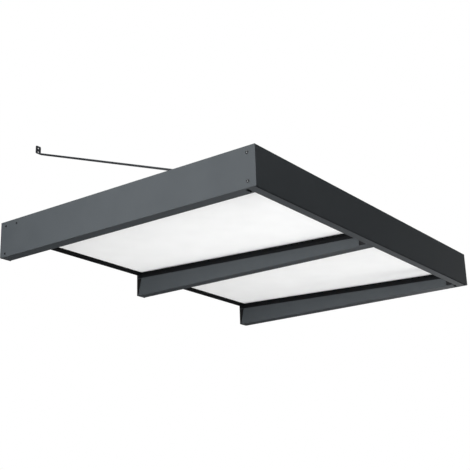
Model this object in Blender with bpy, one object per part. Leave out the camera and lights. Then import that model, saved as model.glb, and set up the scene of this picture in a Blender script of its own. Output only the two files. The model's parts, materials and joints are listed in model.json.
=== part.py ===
"""A flat door canopy: box frame, gutter front, middle rib, two sloping opal panes and two tie bars.

The wall is the plane y = 0, the canopy reaches towards -Y, and X runs along the wall.
Heights in this file count from the frame's underside. The parent empty then lowers everything,
so that the finished part has its origin on the wall, at the middle of the frame's height.
"""

import math

import bmesh
import bpy
from mathutils import Matrix, Vector

MM = 0.001

# Overall sizes
WIDTH = 1500 * MM
DEPTH = 1104 * MM
HEIGHT = 131 * MM

# Gap between pieces that touch on the real canopy
FIT = 0.3 * MM

# Outer plates and the hollow beams behind them
PLATE_THICKNESS = 3 * MM
BEAM_WIDTH = 43.2 * MM
RIB_WIDTH = 42 * MM
TUBE_WALL = 2 * MM
EDGE_RADIUS = 1 * MM
COPE_LENGTH = 33.5 * MM
TONGUE_STUB = 1 * MM

# Front profile: face plate, flanges, upstand of the gutter and the lip that mirrors it at the top
FRONT_WIDTH = 37 * MM
FACE_WALL = 3 * MM
FLANGE_WALL = 2.5 * MM
SEAT_LEDGE_WIDTH = 6 * MM
FRONT_SEAT_HEIGHT = 5 * MM
DRIP_NOSE = 1.5 * MM
DRIP_WIDTH = 6 * MM
DRIP_DEPTH = 5.5 * MM
DRIP_EDGE = 0.4 * MM
PORT_INSET = 29 * MM
PORT_RISE = 20.5 * MM
PORT_RADIUS = 4 * MM
PORT_BORE = 2.4 * MM
LIP_TAIL = 6 * MM

# Slot on the inner side of the face plate that takes the tie bolts
SLOT_HEIGHT = 70 * MM
SLOT_OPENING = 6.6 * MM
SLOT_ROOM = 11.6 * MM
SLOT_DEPTH = 4.6 * MM
SLOT_LIP = 2 * MM

# Drain at both ends of the gutter
DRAIN_WIDTH = 29 * MM
DRAIN_LENGTH = 9.5 * MM
DRAIN_FROM_OUTSIDE = 11 * MM
WEEP_HEIGHT = 8 * MM

# Panes
PANE_THICKNESS = 4 * MM
PANE_HEIGHT_AT_WALL = 92.5 * MM
PANE_ANGLE = math.radians(2.15)
PANE_SIDE_GAP = 3 * MM
PANE_WALL_GAP = 3 * MM
PANE_OVERHANG = 1.5 * MM

# Support rails under the panes, clamp angles over them, and the rubber between
RAIL_WIDTH = 12 * MM
RAIL_HEIGHT = 16 * MM
RAIL_WALL = 2 * MM
SEAT_THICKNESS = 3 * MM
SEAT_WIDTH = 8 * MM
CLAMP_WIDTH = 15 * MM
CLAMP_HEIGHT = 15 * MM
CLAMP_WALL = 2 * MM
SEAL_THICKNESS = 3 * MM
SEAL_WIDTH = 8 * MM
RIVET_RADIUS = 2 * MM
RIVET_HEAD_RADIUS = 4 * MM
RIVET_HEAD_HEIGHT = 1.6 * MM
RIVET_GRIP = 8 * MM
RIVET_END_DISTANCE = 150 * MM
RIVETS_PER_RAIL = 3

# Wall rail: leg on the wall, ledge under the pane, lip over it
WALL_LEG = 2.5 * MM
WALL_LEDGE = 31 * MM
WALL_LEDGE_THICKNESS = 2 * MM
WALL_LIP = 24 * MM
WALL_SEAT_WIDTH = 16 * MM
WALL_RAIL_TOP_DROP = 3 * MM
WALL_HOLE_RADIUS = 3.5 * MM
WALL_HOLE_DROP = 15 * MM
WALL_HOLE_INSET = 90 * MM
WALL_HOLES_PER_BAY = 3

# Rubber pads and tapered boots at the wall ends
PAD_THICKNESS = 4 * MM
CHEEK_THICKNESS = 1.2 * MM
CHEEK_CLEARANCE = 2.5 * MM
CHEEK_DEPTH_LOW = 5 * MM
CHEEK_DEPTH_HIGH = 22 * MM
PAD_MARGIN = 0.5 * MM

# Wall brackets inside the beams
BRACKET_SHEET = 3 * MM
BRACKET_ARM = 96 * MM
BRACKET_ARM_HEIGHT = 30 * MM
BRACKET_FOOT = 36 * MM
BRACKET_WAIST = 50 * MM
ANCHOR_RADIUS = 4.5 * MM
ANCHOR_RISE = 40 * MM
ANCHOR_DROP = 31 * MM

# Screws through the outer plates
SCREW_RADIUS = 2.1 * MM
SCREW_HOLE = 2.6 * MM
CORNER_HEAD_RADIUS = 5.5 * MM
CORNER_HEAD_HEIGHT = 3.8 * MM
CORNER_SCREW_LENGTH = 19 * MM
BRACKET_HEAD_RADIUS = 4 * MM
BRACKET_HEAD_HEIGHT = 1.4 * MM
BRACKET_SCREW_LENGTH = 14 * MM
BRACKET_SCREW_INSET = 26 * MM
BRACKET_SCREW_REACH = 81 * MM
BRACKET_SCREW_DROP = 17 * MM
BRACKET_SCREW_RISE = 12 * MM

# Connectors between the beams and the front profile
CONNECTOR_WALL = 4 * MM
CONNECTOR_INSERT = 30 * MM
CONNECTOR_SCREW_LENGTH = 14 * MM

# Tie bars
TIE_FROM_END = 160 * MM
TIE_WIDTH = 24 * MM
TIE_THICKNESS = 3 * MM
TIE_BEND_RADIUS = 5 * MM
TIE_ANGLE = math.radians(19.9)
TIE_WALL_TAB = 31 * MM
TIE_FOOT_RISE = 15 * MM
TIE_FOOT_TOP = 14 * MM
TIE_CORNER = 4 * MM
TIE_HOLE_RADIUS = 3.3 * MM
TIE_HOLE_DROP = 9 * MM
TIE_HOLE_SPACING = 15 * MM
TIE_BOLT_RADIUS = 2.9 * MM
TIE_BOLT_HEAD_THICKNESS = 3.6 * MM
TIE_BOLT_TAIL = 2.5 * MM
TIE_NUT_ACROSS_FLATS = 10 * MM
TIE_NUT_THICKNESS = 5 * MM

# Steps of a full circle for bores and screws
BORE_STEPS = 12
HEAD_STEPS = 20
RIVET_STEPS = 10

# Places worked out from the sizes above; y counts forward from the wall as a negative number
HALF = WIDTH / 2
BEAM_OUT = HALF - PLATE_THICKNESS - FIT
BEAM_IN = BEAM_OUT - BEAM_WIDTH
RIB_HALF = RIB_WIDTH / 2
BACK = -(PAD_THICKNESS + FIT)
FRONT = -DEPTH
FRONT_INNER = FRONT + FRONT_WIDTH
TONGUE_END = FRONT_INNER + FIT
COPE_START = TONGUE_END + COPE_LENGTH
SLOT_FACE = FACE_WALL + SLOT_DEPTH + SLOT_LIP
CHEEK_HEIGHT = PANE_HEIGHT_AT_WALL - SEAT_THICKNESS - RAIL_HEIGHT - CHEEK_CLEARANCE
TIE_FROM_MIDDLE = HALF - TIE_FROM_END
WEEP_FLOOR = FLANGE_WALL + EDGE_RADIUS

AXES = {"X": (1, 2, 0), "Y": (0, 2, 1), "Z": (0, 1, 2)}


def clear_scene():
    for item in list(bpy.data.objects):
        bpy.data.objects.remove(item, do_unlink=True)


def srgb(code):
    """Turn a hex colour into linear light."""
    values = [int(code[i:i + 2], 16) / 255 for i in (0, 2, 4)]
    return [v / 12.92 if v <= 0.04045 else ((v + 0.055) / 1.055) ** 2.4 for v in values] + [1.0]


def material(name, code, roughness, metallic=0.0):
    """One Principled material, made once and then shared."""
    if name in bpy.data.materials:
        return bpy.data.materials[name]
    made = bpy.data.materials.new(name)
    made.use_nodes = True
    shader = made.node_tree.nodes["Principled BSDF"]
    shader.inputs["Base Color"].default_value = srgb(code)
    shader.inputs["Roughness"].default_value = roughness
    shader.inputs["Metallic"].default_value = metallic
    return made


def powder_coat():
    return material("anthracite_powder_coat", "3A4044", 0.45)


def black_coat():
    return material("black_powder_coat", "15171A", 0.5)


def rubber():
    return material("black_rubber", "101012", 0.75)


def opal():
    return material("opal_acrylic", "F2F4F4", 0.25)


def steel():
    return material("zinc_plated_steel", "9A9DA0", 0.35, 1.0)


def nylon():
    return material("black_nylon", "141416", 0.6)


def add_object(name, bm, parent, surface=None, smooth=False):
    """Make one named object from a bmesh, with all faces turned outwards."""
    bmesh.ops.recalc_face_normals(bm, faces=bm.faces)
    mesh = bpy.data.meshes.new(name)
    bm.to_mesh(mesh)
    bm.free()
    made = bpy.data.objects.new(name, mesh)
    made.parent = parent
    bpy.context.scene.collection.objects.link(made)
    if surface is not None:
        mesh.materials.append(surface)
    if smooth:
        mesh.shade_smooth()
        mesh.set_sharp_from_angle(angle=math.radians(35))
    return made


def add_empty(name, parent=None, location=(0, 0, 0), tilt=0.0):
    made = bpy.data.objects.new(name, None)
    made.parent = parent
    made.location = location
    made.rotation_euler = (tilt, 0, 0)
    bpy.context.scene.collection.objects.link(made)
    return made


def prism(bm, loops, axis, start, end):
    """Fill flat outlines, the first outside and the others holes, and extrude them along an axis."""
    first, second, along = AXES[axis]
    edges = []
    for loop in loops:
        corners = []
        for a, b in loop:
            place = [0.0, 0.0, 0.0]
            place[first] = a
            place[second] = b
            place[along] = start
            corners.append(bm.verts.new(place))
        edges += [bm.edges.new((corners[i - 1], corners[i])) for i in range(len(corners))]
    filled = bmesh.ops.triangle_fill(bm, use_beauty=True, use_dissolve=False, edges=edges)
    faces = [item for item in filled["geom"] if isinstance(item, bmesh.types.BMFace)]
    raised = bmesh.ops.extrude_face_region(bm, geom=faces)
    step = [0.0, 0.0, 0.0]
    step[along] = end - start
    top = [item for item in raised["geom"] if isinstance(item, bmesh.types.BMVert)]
    bmesh.ops.translate(bm, vec=step, verts=top)
    return bm


def rectangle(a0, b0, a1, b1):
    return [(a0, b0), (a1, b0), (a1, b1), (a0, b1)]


def arc(a, b, radius, start, end, steps):
    """Points on an arc, both ends included; the angles are in degrees."""
    angles = [math.radians(start + (end - start) * i / steps) for i in range(steps + 1)]
    return [(a + radius * math.cos(t), b + radius * math.sin(t)) for t in angles]


def circle(a, b, radius, steps=BORE_STEPS):
    return arc(a, b, radius, 0, 360 * (steps - 1) / steps, steps - 1)


def rounded_rectangle(a0, b0, a1, b1, radius, steps=2):
    points = arc(a0 + radius, b0 + radius, radius, 180, 270, steps)
    points += arc(a1 - radius, b0 + radius, radius, 270, 360, steps)
    points += arc(a1 - radius, b1 - radius, radius, 0, 90, steps)
    points += arc(a0 + radius, b1 - radius, radius, 90, 180, steps)
    return points


def add_box(bm, low, high):
    """A plain box between two corners."""
    return prism(bm, [rectangle(low[0], low[1], high[0], high[1])], "Z", low[2], high[2])


def add_turned(bm, profile, place, steps=BORE_STEPS):
    """Turn a half outline of (radius, height) points round its own Z axis, then put it in place."""
    chain = [bm.verts.new((radius, 0, height)) for radius, height in profile]
    edges = [bm.edges.new(pair) for pair in zip(chain, chain[1:])]
    before = set(bm.verts) - set(chain)
    bmesh.ops.spin(bm, geom=chain + edges, cent=(0, 0, 0), axis=(0, 0, 1),
                   angle=math.tau, steps=steps, use_merge=True)
    fresh = [v for v in bm.verts if v not in before]
    bmesh.ops.remove_doubles(bm, verts=fresh, dist=0.00001)
    fresh = [v for v in bm.verts if v not in before]
    bmesh.ops.transform(bm, matrix=place, verts=fresh)
    return bm


def along_x(side, x, y, z):
    """Placement whose own +Z points along X, outwards on the given side."""
    return Matrix.Translation((side * x, y, z)) @ Matrix.Rotation(side * math.pi / 2, 4, "Y")


def add_cutter(name, bm, parent):
    """A shape that only cuts: shown as wire and left out of renders."""
    made = add_object(name, bm, parent)
    made.hide_render = True
    made.display_type = "WIRE"
    return made


def combine(target, tool, operation="DIFFERENCE"):
    change = target.modifiers.new(tool.name, "BOOLEAN")
    change.operation = operation
    change.solver = "EXACT"
    change.object = tool
    return change


def pane_underside(y):
    """Height of the panes' underside at a distance y from the wall."""
    return PANE_HEIGHT_AT_WALL + y * math.tan(PANE_ANGLE)


def on_slope(y, above):
    """A point of a wall rail's section: at y, and square above the panes' underside."""
    return y, pane_underside(y) + above / math.cos(PANE_ANGLE)


def spread(first, last, count):
    """Evenly spaced places from first to last."""
    return [first + (last - first) * i / (count - 1) for i in range(count)]


def plate_screw_places():
    """Screws through an outer plate: (y, z) near the front, then near the wall."""
    front = [(FRONT + PORT_INSET, PORT_RISE), (FRONT + PORT_INSET, HEIGHT - PORT_RISE)]
    top = HEIGHT - BRACKET_SCREW_DROP
    wall = [(-BRACKET_SCREW_INSET, top), (-BRACKET_SCREW_REACH, top),
            (-BRACKET_SCREW_INSET, BRACKET_SCREW_RISE)]
    return front, wall


def drain_limits(side):
    """Low and high x of the drain slot, the weep notch and the passage between them."""
    outside = HALF - DRAIN_FROM_OUTSIDE
    return sorted((side * outside, side * (outside - DRAIN_WIDTH)))


def add_side_plate(name, side, parent):
    """Flat outer plate, as tall as the frame; its wall end covers the rubber pad."""
    bm = bmesh.new()
    outline = rectangle(0, 0, FRONT, HEIGHT)
    front, wall = plate_screw_places()
    holes = [circle(y, z, SCREW_HOLE) for y, z in front + wall]
    inside = side * (HALF - PLATE_THICKNESS)
    prism(bm, [outline] + holes, "X", inside, side * HALF)
    return add_object(name, bm, parent, powder_coat())


def beam_blank(bm, low, high):
    """Hollow rectangular tube from the wall to the front profile."""
    outer = rounded_rectangle(low, 0, high, HEIGHT, EDGE_RADIUS)
    inner = rectangle(low + TUBE_WALL, TUBE_WALL, high - TUBE_WALL, HEIGHT - TUBE_WALL)
    return prism(bm, [outer, inner], "Y", TONGUE_END, BACK)


def add_beam(name, side, parent):
    """Hollow beam behind an outer plate: coped inner wall, drain slot and screw holes."""
    low, high = sorted((side * BEAM_IN, side * BEAM_OUT))
    beam = add_object(name, beam_blank(bmesh.new(), low, high), parent, powder_coat())

    cope = bmesh.new()
    near, far = sorted((side * (BEAM_IN - TUBE_WALL), side * (BEAM_IN + 2 * TUBE_WALL)))
    stub = TUBE_WALL + TONGUE_STUB
    add_box(cope, (near, FRONT, stub), (far, COPE_START, HEIGHT - stub))
    combine(beam, add_cutter("cut_cope_" + name, cope, parent))

    drain = bmesh.new()
    near, far = drain_limits(side)
    add_box(drain, (near, FRONT, -TUBE_WALL), (far, TONGUE_END + DRAIN_LENGTH, 2 * TUBE_WALL))
    combine(beam, add_cutter("cut_drain_" + name, drain, parent))

    holes = bmesh.new()
    for y, z in plate_screw_places()[1]:
        start, end = sorted((side * (BEAM_OUT - 2 * TUBE_WALL), side * (BEAM_OUT + TUBE_WALL)))
        prism(holes, [circle(y, z, SCREW_HOLE)], "X", start, end)
    combine(beam, add_cutter("cut_holes_" + name, holes, parent))
    return beam


def add_rib(name, parent):
    """Middle rib: the same hollow tube, coped on both sides at the front."""
    rib = add_object(name, beam_blank(bmesh.new(), -RIB_HALF, RIB_HALF), parent, powder_coat())
    cope = bmesh.new()
    stub = TUBE_WALL + TONGUE_STUB
    add_box(cope, (-RIB_WIDTH, FRONT, stub), (RIB_WIDTH, COPE_START, HEIGHT - stub))
    combine(rib, add_cutter("cut_cope_" + name, cope, parent))
    return rib


def port_bump(height):
    """Half round boss of a screw port on the inner side of the upstand or lip, in section."""
    wall = FRONT_WIDTH - FLANGE_WALL
    points = [(wall, height - PORT_RADIUS)]
    points += arc(PORT_INSET, height, PORT_RADIUS, 270, 90, 6)
    return points + [(wall, height + PORT_RADIUS)]


def slot_outline():
    """The bolt slot on the face plate's inner side, from its top to its bottom, in section."""
    room = SLOT_ROOM / 2
    opening = SLOT_OPENING / 2
    lip_back = SLOT_FACE - SLOT_LIP
    half = [(FACE_WALL, room + SLOT_LIP), (SLOT_FACE, room + SLOT_LIP), (SLOT_FACE, opening),
            (lip_back, opening), (lip_back, room), (FACE_WALL, room)]
    upper = [(u, SLOT_HEIGHT + z) for u, z in half]
    lower = [(u, SLOT_HEIGHT - z) for u, z in reversed(half)]
    return upper + lower


def upstand_top():
    return pane_underside(FRONT_INNER) - FRONT_SEAT_HEIGHT


def front_section():
    """Outline of the front profile; u counts back from its face, z up from its underside.

    The face plate ends below in a sharp drip nose, bevelled on the side of the groove.
    """
    wall = FRONT_WIDTH - FLANGE_WALL
    top = HEIGHT - FLANGE_WALL
    groove_end = DRIP_NOSE + DRIP_WIDTH
    groove_roof = DRIP_DEPTH + FLANGE_WALL
    lip_end = HEIGHT - PORT_RISE - LIP_TAIL
    ledge = upstand_top()
    outline = arc(DRIP_EDGE, DRIP_EDGE, DRIP_EDGE, 270, 180, 2)
    outline += arc(EDGE_RADIUS, HEIGHT - EDGE_RADIUS, EDGE_RADIUS, 180, 90, 2)
    outline += arc(FRONT_WIDTH - EDGE_RADIUS, HEIGHT - EDGE_RADIUS, EDGE_RADIUS, 90, 0, 2)
    outline += [(FRONT_WIDTH, lip_end), (wall, lip_end)]
    outline += port_bump(HEIGHT - PORT_RISE)
    outline += [(wall, top), (FACE_WALL, top)]
    outline += slot_outline()
    outline += [(FACE_WALL, groove_roof), (groove_end + FLANGE_WALL, groove_roof),
                (groove_end + FLANGE_WALL + DRIP_DEPTH, FLANGE_WALL), (wall, FLANGE_WALL)]
    outline += port_bump(PORT_RISE)
    outline += [(wall, ledge - FLANGE_WALL), (FRONT_WIDTH - SEAT_LEDGE_WIDTH, ledge - FLANGE_WALL),
                (FRONT_WIDTH - SEAT_LEDGE_WIDTH, ledge), (FRONT_WIDTH, ledge)]
    outline += arc(FRONT_WIDTH - EDGE_RADIUS, EDGE_RADIUS, EDGE_RADIUS, 0, -90, 2)
    outline += [(groove_end, 0), (groove_end, DRIP_DEPTH), (DRIP_NOSE, DRIP_DEPTH),
                (DRIP_NOSE, DRIP_NOSE)]
    ports = [circle(PORT_INSET, z, PORT_BORE) for z in (PORT_RISE, HEIGHT - PORT_RISE)]
    return [[(FRONT + u, z) for u, z in loop] for loop in [outline] + ports]


def connector_screw_heights():
    """Midway between the lower port and the seat ledge, and between the upper port and the top flange."""
    low = (PORT_RISE + PORT_RADIUS + upstand_top() - FLANGE_WALL) / 2
    high = HEIGHT - (PORT_RISE - PORT_RADIUS + FLANGE_WALL) / 2
    return low, high


def connector_middles():
    """Middle of each beam's hollow, and half the hollow's width."""
    beam = (BEAM_IN + BEAM_OUT) / 2
    return {"left": (-beam, BEAM_WIDTH / 2 - TUBE_WALL), "middle": (0.0, RIB_HALF - TUBE_WALL),
            "right": (beam, BEAM_WIDTH / 2 - TUBE_WALL)}


def add_front_profile(parent):
    """One extrusion: face, gutter, seat ledge, top flange, bolt slot and screw ports."""
    reach = HALF - PLATE_THICKNESS - FIT
    bm = prism(bmesh.new(), front_section(), "X", -reach, reach)
    front = add_object("front_gutter_profile", bm, parent, powder_coat())
    cuts = bmesh.new()
    for side in (-1, 1):
        near, far = drain_limits(side)
        low = FRONT_INNER - 2 * FLANGE_WALL
        high = FRONT_INNER + FLANGE_WALL
        add_box(cuts, (near, low, WEEP_FLOOR), (far, high, WEEP_FLOOR + WEEP_HEIGHT))
    for middle, _ in connector_middles().values():
        for z in connector_screw_heights():
            start = FRONT_INNER - 2 * FLANGE_WALL
            prism(cuts, [circle(middle, z, SCREW_HOLE)], "Y", start, FRONT_INNER + FLANGE_WALL)
    combine(front, add_cutter("cut_front_profile", cuts, parent))
    return front


def add_connector(name, middle, half, parent):
    """Open-backed block that plugs into a beam and is screwed to the front profile.

    The two at the ends of the gutter have a passage at the foot, as wide as the drain slot, so that
    water gets from the weep notch to it.
    """
    half -= FIT
    bottom = TUBE_WALL + FIT
    top = HEIGHT - TUBE_WALL - FIT
    back = COPE_START + CONNECTOR_INSERT
    bm = prism(bmesh.new(), [rounded_rectangle(middle - half, bottom, middle + half, top, EDGE_RADIUS)],
               "Y", TONGUE_END, back)
    block = add_object(name, bm, parent, nylon())
    pocket = bmesh.new()
    wall = CONNECTOR_WALL
    centre = HEIGHT / 2
    add_box(pocket, (middle - half + wall, TONGUE_END + wall, bottom + wall),
            (middle + half - wall, back + wall, centre - wall / 2))
    add_box(pocket, (middle - half + wall, TONGUE_END + wall, centre + wall / 2),
            (middle + half - wall, back + wall, top - wall))
    combine(block, add_cutter("cut_" + name, pocket, parent))

    if middle:
        drain = bmesh.new()
        near, far = drain_limits(math.copysign(1, middle))
        add_box(drain, (near, FRONT, 0), (far, TONGUE_END + DRAIN_LENGTH, WEEP_FLOOR + WEEP_HEIGHT))
        combine(block, add_cutter("cut_drain_" + name, drain, parent))

    screws = bmesh.new()
    seat = FRONT_INNER - FLANGE_WALL - FIT
    outline = screw_outline(BRACKET_HEAD_RADIUS, BRACKET_HEAD_HEIGHT, CONNECTOR_SCREW_LENGTH)
    for z in connector_screw_heights():
        turned = Matrix.Translation((middle, seat, z)) @ Matrix.Rotation(math.pi / 2, 4, "X")
        add_turned(screws, outline, turned)
    combine(block, add_cutter("screws_" + name, screws, parent), "UNION")
    return block


def screw_outline(head_radius, head_height, length):
    """Half outline of a pan head screw; its seat is at height 0 and its tip points down."""
    return [(0, head_height), (head_radius * 0.55, head_height * 0.93),
            (head_radius * 0.88, head_height * 0.6), (head_radius, 0),
            (SCREW_RADIUS, 0), (SCREW_RADIUS, -length + SCREW_RADIUS), (0, -length)]


def bracket_blank(bm, webs, low, high):
    """Folded sheet in plan: a back plate on the wall and one or two webs, as tall as the hollow."""
    back = BACK
    sheet = BRACKET_SHEET
    reach = -BRACKET_ARM
    if len(webs) == 2:
        plan = [(low, back), (low, reach), (low + sheet, reach), (low + sheet, back - sheet),
                (high - sheet, back - sheet), (high - sheet, reach), (high, reach), (high, back)]
    elif webs[0] < 0:
        plan = [(low, back), (low, reach), (low + sheet, reach), (low + sheet, back - sheet),
                (high, back - sheet), (high, back)]
    else:
        plan = [(low, back), (low, back - sheet), (high - sheet, back - sheet),
                (high - sheet, reach), (high, reach), (high, back)]
    return prism(bm, [plan], "Z", TUBE_WALL + FIT, HEIGHT - TUBE_WALL - FIT)


def add_bracket(name, webs, middle, half, parent):
    """Wall bracket: the beam slides over it and is screwed to its webs."""
    low = middle - half + FIT
    high = middle + half - FIT
    bracket = add_object(name, bracket_blank(bmesh.new(), webs, low, high), parent, steel())

    waste = bmesh.new()
    arm_bottom = HEIGHT - TUBE_WALL - BRACKET_ARM_HEIGHT
    outline = [(-BRACKET_FOOT, -TUBE_WALL), (-BRACKET_FOOT, BRACKET_SCREW_RISE * 2),
               (-BRACKET_WAIST, arm_bottom), (-BRACKET_ARM - BRACKET_FOOT, arm_bottom),
               (-BRACKET_ARM - BRACKET_FOOT, -TUBE_WALL)]
    prism(waste, [outline], "X", low - TUBE_WALL, high + TUBE_WALL)
    combine(bracket, add_cutter("cut_web_" + name, waste, parent))

    holes = bmesh.new()
    for z in (ANCHOR_RISE, HEIGHT - ANCHOR_DROP):
        prism(holes, [circle(middle, z, ANCHOR_RADIUS)], "Y", BACK - 2 * BRACKET_SHEET, BACK + BRACKET_SHEET)
    wall = plate_screw_places()[1]
    for web in webs:
        face = high if web > 0 else low
        used = wall if len(webs) == 1 else wall[:2]
        for y, z in used:
            prism(holes, [circle(y, z, SCREW_HOLE)], "X", face - 2 * BRACKET_SHEET, face + 2 * BRACKET_SHEET)
    combine(bracket, add_cutter("cut_holes_" + name, holes, parent))
    return bracket


def add_boot(name, cheeks, low, high, middle, parent):
    """Rubber pad on the wall with tapered cheeks that lap over the beam's sides."""
    pad_low = low - (CHEEK_THICKNESS + FIT + PAD_MARGIN if -1 in cheeks else 0)
    pad_high = high + (CHEEK_THICKNESS + FIT + PAD_MARGIN if 1 in cheeks else 0)
    holes = [circle(middle, z, ANCHOR_RADIUS) for z in (ANCHOR_RISE, HEIGHT - ANCHOR_DROP)]
    bm = prism(bmesh.new(), [rectangle(pad_low, 0, pad_high, HEIGHT)] + holes, "Y", -PAD_THICKNESS, 0)
    boot = add_object(name, bm, parent, rubber())
    flaps = bmesh.new()
    root = -PAD_THICKNESS / 2
    taper = [(root, PAD_MARGIN), (-CHEEK_DEPTH_LOW, PAD_MARGIN), (-CHEEK_DEPTH_HIGH, CHEEK_HEIGHT),
             (root, CHEEK_HEIGHT)]
    for cheek in cheeks:
        face = (high + FIT) if cheek > 0 else (low - FIT)
        near, far = sorted((face, face + cheek * CHEEK_THICKNESS))
        prism(flaps, [taper], "X", near, far)
    combine(boot, add_cutter("flaps_" + name, flaps, parent), "UNION")
    return boot


def bay_limits(side):
    """The clear bay between a side beam and the middle rib, from low x to high x."""
    return sorted((side * RIB_HALF, side * BEAM_IN))


def wall_hole_places(side):
    low, high = bay_limits(side)
    return spread(low + WALL_HOLE_INSET, high - WALL_HOLE_INSET, WALL_HOLES_PER_BAY)


def wall_rail_levels():
    """Underside of the ledge on the wall, and the rail's top edge."""
    ledge = on_slope(BACK, -SEAT_THICKNESS - WALL_LEDGE_THICKNESS)[1]
    return ledge, HEIGHT - WALL_RAIL_TOP_DROP


def add_wall_rail(name, side, parent):
    """Wall rail of one bay: leg, ledge under the pane and lip over it, parallel to the pane."""
    low, high = bay_limits(side)
    bottom, top = wall_rail_levels()
    leg = BACK - WALL_LEG
    ledge_end = BACK - WALL_LEDGE
    lip_end = BACK - WALL_LIP
    under = -SEAT_THICKNESS
    over = PANE_THICKNESS + SEAL_THICKNESS
    section = [(BACK, bottom), on_slope(ledge_end, under - WALL_LEDGE_THICKNESS),
               on_slope(ledge_end, under), on_slope(leg, under), on_slope(leg, over),
               on_slope(lip_end, over), on_slope(lip_end, over + WALL_LEDGE_THICKNESS),
               on_slope(leg, over + WALL_LEDGE_THICKNESS), (leg, top), (BACK, top)]
    bm = prism(bmesh.new(), [section], "X", low + FIT, high - FIT)
    rail = add_object(name, bm, parent, black_coat())
    cuts = bmesh.new()
    notch = RAIL_WIDTH + 2 * FIT
    floor = on_slope(ledge_end, under - WALL_LEDGE_THICKNESS)[1] - RAIL_WALL
    roof = pane_underside(ledge_end)
    for x0, x1 in ((low - notch, low + notch), (high - notch, high + notch)):
        add_box(cuts, (x0, ledge_end - WALL_LEG, floor), (x1, leg - FIT, roof))
    for x in wall_hole_places(side):
        prism(cuts, [circle(x, HEIGHT - WALL_HOLE_DROP, WALL_HOLE_RADIUS)], "Y",
              leg - WALL_LEG, BACK + WALL_LEG)
    combine(rail, add_cutter("cut_" + name, cuts, parent))
    return rail


def add_wall_strip(name, side, parent):
    """Rubber strip between a wall rail and the wall, with the same holes."""
    low, high = bay_limits(side)
    lap = CHEEK_THICKNESS + FIT + PAD_MARGIN + FIT
    bottom, top = wall_rail_levels()
    outline = rectangle(low + lap, bottom, high - lap, top)
    holes = [circle(x, HEIGHT - WALL_HOLE_DROP, WALL_HOLE_RADIUS) for x in wall_hole_places(side)]
    bm = prism(bmesh.new(), [outline] + holes, "Y", -PAD_THICKNESS, 0)
    return add_object(name, bm, parent, rubber())


def slope_reach():
    """Where the support rails start and end, measured along the slope."""
    run = 1 / math.cos(PANE_ANGLE)
    start = (BACK - WALL_LEG - 2 * FIT) * run
    end = (COPE_START + FIT) * run
    return start, end


def clamp_reach():
    run = 1 / math.cos(PANE_ANGLE)
    return (BACK - WALL_LIP - 2 * FIT - CLAMP_WALL) * run, (COPE_START + FIT) * run


def angle_section(face, side, width, height, wall, level, upwards):
    """L section whose upright leg lies on a beam's face and whose flat leg lies at the pane."""
    turn = 1 if upwards else -1
    out = face + side * FIT
    return [(out, level), (out + side * width, level), (out + side * width, level + turn * wall),
            (out + side * wall, level + turn * wall), (out + side * wall, level + turn * height),
            (out, level + turn * height)]


def rail_sites():
    """Each beam face that carries a pane edge: name, its beam, x of the face, and the way into the bay."""
    return [("left_outer", "left", -BEAM_IN, 1), ("left_inner", "middle", -RIB_HALF, -1),
            ("right_inner", "middle", RIB_HALF, 1), ("right_outer", "right", BEAM_IN, -1)]


def rail_rivet_level():
    return -SEAT_THICKNESS - RAIL_WALL - (RAIL_HEIGHT - RAIL_WALL) / 2


def clamp_rivet_level():
    return PANE_THICKNESS + SEAL_THICKNESS + CLAMP_WALL + (CLAMP_HEIGHT - CLAMP_WALL) / 2


def rivet_rows(reach):
    start, end = reach
    return spread(start - RIVET_END_DISTANCE, end + RIVET_END_DISTANCE, RIVETS_PER_RAIL)


def rivet_outline():
    """Half outline of a dome head rivet; its head sinks a little into what carries it."""
    head = RIVET_HEAD_RADIUS
    dome = RIVET_HEAD_HEIGHT
    return [(0, dome), (head * 0.6, dome * 0.8), (head, 0), (head, -FIT), (RIVET_RADIUS, -FIT),
            (RIVET_RADIUS, -RIVET_GRIP), (0, -RIVET_GRIP)]


def add_rivets(angle, face, side, level, reach, wall, parent):
    """Rivets through one angle's upright leg, in one piece with the angle."""
    bm = bmesh.new()
    seat = face + side * (FIT + wall)
    for y in rivet_rows(reach):
        spot = Matrix.Translation((seat, y, level)) @ Matrix.Rotation(side * math.pi / 2, 4, "Y")
        add_turned(bm, rivet_outline(), spot, RIVET_STEPS)
    combine(angle, add_cutter("rivets_" + angle.name, bm, parent), "UNION")


def add_rivet_holes(name, beam, sites, parent):
    """Clearance holes in one beam's walls for the rivets of its support rails and clamp angles."""
    bm = bmesh.new()
    rows = [(rail_rivet_level(), slope_reach()), (clamp_rivet_level(), clamp_reach())]
    for _, _, face, side in sites:
        near, far = sorted((face + side * TUBE_WALL, face - side * 2 * TUBE_WALL))
        for level, reach in rows:
            for y in rivet_rows(reach):
                prism(bm, [circle(y, level, RIVET_RADIUS + FIT, RIVET_STEPS)], "X", near, far)
    combine(beam, add_cutter("cut_rivets_" + name, bm, parent))


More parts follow.
